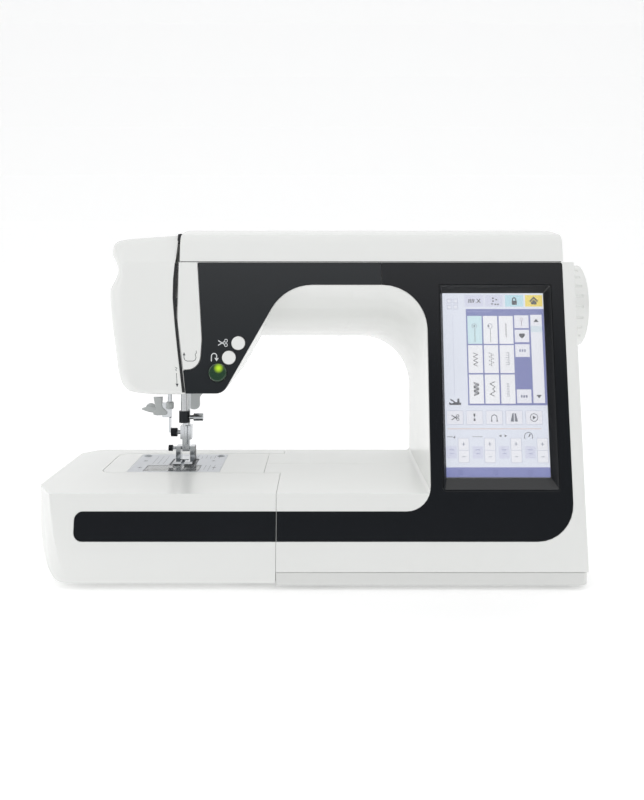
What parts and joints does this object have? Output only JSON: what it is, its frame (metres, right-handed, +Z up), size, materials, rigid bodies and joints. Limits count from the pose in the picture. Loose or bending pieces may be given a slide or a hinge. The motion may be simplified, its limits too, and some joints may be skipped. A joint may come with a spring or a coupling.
{
  "type": "sewing machine",
  "caption": "Computerised free-arm sewing machine with a touch screen pillar, slide-on accessory table, hinged lid and handwheel.",
  "frame": {"origin": "middle of the footprint on the surface that the machine stands on", "axes": "+X to the operator's right, towards the handwheel; +Y away from the operator; +Z up"},
  "size_m": [0.4855, 0.1873, 0.2949],
  "materials": {
    "white_abs": "satin moulded",
    "black_acrylic": "gloss",
    "touch_glass": "gloss",
    "display": "lit panel",
    "circuit_board": "solder mask",
    "rubber": "matte",
    "plated_steel": "zinc plated",
    "steel": "ground",
    "chromed_steel": "polished",
    "brushed_plate": "brushed",
    "cast_aluminium": "die cast",
    "bronze": "sintered",
    "motor_can": "satin",
    "dark_plastic": "moulded",
    "grey_plastic": "moulded",
    "clear_plastic": "clear",
    "lamp_lens": "frosted",
    "green_button": "clear over green"
  },
  "bodies": {
    "chassis": {"base_pan": "white_abs", "rubber_feet": "rubber", "front_casing": "white_abs", "rear_casing": "white_abs", "cover_screws": "plated_steel", "free_arm_cover": "white_abs", "pillar_fascia": "black_acrylic", "arm_fascia": "black_acrylic", "thread_guide_strip": "white_abs", "screen_bezel": "black_acrylic", "screen_glass": "touch_glass", "display_panel": "display", "main_board": "circuit_board", "face_cover": "white_abs", "thread_cutter": "steel", "sewing_lamp": "lamp_lens", "pivot_pins": "steel", "spool_deck": "white_abs", "spool_pin": "white_abs", "winder_stop": "white_abs", "power_inlet": "dark_plastic", "needle_plate": "brushed_plate", "plate_screws": "plated_steel", "bobbin_case": "dark_plastic", "bed_frame": "cast_aluminium", "arm_frame": "cast_aluminium", "head_bracket": "cast_aluminium", "bearing_bushes": "bronze", "timing_belt": "rubber", "drive_belt": "rubber", "motor": "motor_can", "tension_unit": "steel"},
    "lid": {"top_lid": "white_abs"},
    "spool_cap": {"spool_cap": "white_abs"},
    "winder_carriage": {"winder_carriage": "dark_plastic"},
    "winder_spindle": {"winder_spindle": "steel"},
    "carry_handle": {"carry_handle": "white_abs"},
    "cutter_button": {"cutter_button": "white_abs"},
    "reverse_button": {"reverse_button": "white_abs"},
    "start_button": {"start_button": "green_button"},
    "power_switch": {"power_switch": "dark_plastic"},
    "accessory_table": {"accessory_table": "white_abs", "table_stripe": "black_acrylic", "table_feet": "rubber"},
    "bobbin_cover": {"bobbin_cover": "clear_plastic"},
    "bobbin": {"bobbin": "clear_plastic"},
    "rotary_hook": {"rotary_hook": "steel"},
    "feed_dog": {"feed_dog": "steel"},
    "main_shaft": {"main_shaft": "steel", "handwheel": "white_abs"},
    "lower_shaft": {"lower_shaft": "steel"},
    "motor_shaft": {"motor_pulley": "steel"},
    "needle_bar": {"needle_bar": "steel", "needle_clamp": "chromed_steel", "needle": "chromed_steel"},
    "take_up_lever": {"take_up_lever": "chromed_steel"},
    "presser_bar": {"presser_bar": "chromed_steel", "presser_foot": "chromed_steel"},
    "presser_lifter": {"presser_lifter": "grey_plastic"},
    "threader": {"threader": "grey_plastic"}
  },
  "joints": [
    {"name": "lid_hinge", "type": "hinge", "parent": "chassis", "child": "lid", "pos_m": [0, 0.078, 0.2725], "axis": [-1, 0, 0], "range_deg": [0, 75]},
    {"name": "spool_cap_slide", "type": "slide", "parent": "chassis", "child": "spool_cap", "axis": [-1, 0, 0], "range_m": [0, 0.03]},
    {"name": "winder_shift", "type": "slide", "parent": "chassis", "child": "winder_carriage", "axis": [1, 0, 0], "range_m": [0, 0.004]},
    {"name": "winder_spin", "type": "hinge", "parent": "winder_carriage", "child": "winder_spindle", "pos_m": [0.16, 0.005, 0.265], "axis": [0, 0, 1], "continuous": true},
    {"name": "handle_swing", "type": "hinge", "parent": "chassis", "child": "carry_handle", "pos_m": [0.09, 0.09, 0.252], "axis": [-1, 0, 0], "range_deg": [-170, 0]},
    {"name": "cutter_press", "type": "slide", "parent": "chassis", "child": "cutter_button", "axis": [0, 0.9867, -0.1628], "range_m": [0, 0.0015], "stiffness_N_per_m": 600, "springref_m": -0.0005},
    {"name": "reverse_press", "type": "slide", "parent": "chassis", "child": "reverse_button", "axis": [0, 0.9867, -0.1628], "range_m": [0, 0.0015], "stiffness_N_per_m": 600, "springref_m": -0.0005},
    {"name": "start_press", "type": "slide", "parent": "chassis", "child": "start_button", "axis": [0, 0.9867, -0.1628], "range_m": [0, 0.0015], "stiffness_N_per_m": 600, "springref_m": -0.0005},
    {"name": "power_rocker", "type": "hinge", "parent": "chassis", "child": "power_switch", "pos_m": [0.205, 0.068, 0.053], "axis": [0, 1, 0], "range_deg": [-8, 8]},
    {"name": "table_slide", "type": "slide", "parent": "chassis", "child": "accessory_table", "axis": [-1, 0, 0], "range_m": [0, 0.21]},
    {"name": "bobbin_cover_lift", "type": "slide", "parent": "chassis", "child": "bobbin_cover", "axis": [0, 0, 1], "range_m": [0, 0.015]},
    {"name": "bobbin_spin", "type": "hinge", "parent": "chassis", "child": "bobbin", "pos_m": [-0.133, 0.0142, 0.065], "axis": [0, 0, 1], "continuous": true},
    {"name": "handwheel_turn", "type": "hinge", "parent": "chassis", "child": "main_shaft", "pos_m": [0, 0.035, 0.225], "axis": [1, 0, 0], "continuous": true},
    {"name": "lower_shaft_turn", "type": "hinge", "parent": "chassis", "child": "lower_shaft", "pos_m": [0, 0.0386, 0.038], "axis": [1, 0, 0], "continuous": true},
    {"name": "hook_turn", "type": "hinge", "parent": "chassis", "child": "rotary_hook", "pos_m": [-0.133, 0.0142, 0.06], "axis": [0, 0, 1], "continuous": true},
    {"name": "motor_turn", "type": "hinge", "parent": "chassis", "child": "motor_shaft", "pos_m": [0.15, 0, 0.14], "axis": [1, 0, 0], "continuous": true},
    {"name": "feed_travel", "type": "slide", "parent": "chassis", "child": "feed_dog", "axis": [0, 1, 0], "range_m": [-0.0025, 0.0025]},
    {"name": "needle_bar_slide", "type": "slide", "parent": "chassis", "child": "needle_bar", "axis": [0, 0, 1], "range_m": [-0.032, 0]},
    {"name": "take_up_swing", "type": "hinge", "parent": "chassis", "child": "take_up_lever", "pos_m": [-0.116, 0.005, 0.205], "axis": [1, 0, 0], "range_deg": [0, 40]},
    {"name": "lifter_swing", "type": "hinge", "parent": "chassis", "child": "presser_lifter", "pos_m": [-0.112, 0.08, 0.172], "axis": [0, -1, 0], "range_deg": [0, 50]},
    {"name": "presser_bar_slide", "type": "slide", "parent": "chassis", "child": "presser_bar", "axis": [0, 0, 1], "range_m": [0, 0.006]},
    {"name": "threader_slide", "type": "slide", "parent": "chassis", "child": "threader", "axis": [0, 0, 1], "range_m": [-0.02, 0]}
  ],
  "couplings": [
    {"joint": "lower_shaft_turn", "follows": "handwheel_turn", "ratio": 1},
    {"joint": "hook_turn", "follows": "handwheel_turn", "ratio": 2},
    {"joint": "motor_turn", "follows": "handwheel_turn", "ratio": 3.7143},
    {"joint": "take_up_swing", "follows": "needle_bar_slide", "rad_per_m": -21.8},
    {"joint": "lifter_swing", "follows": "presser_bar_slide", "rad_per_m": 145.4}
  ]
}
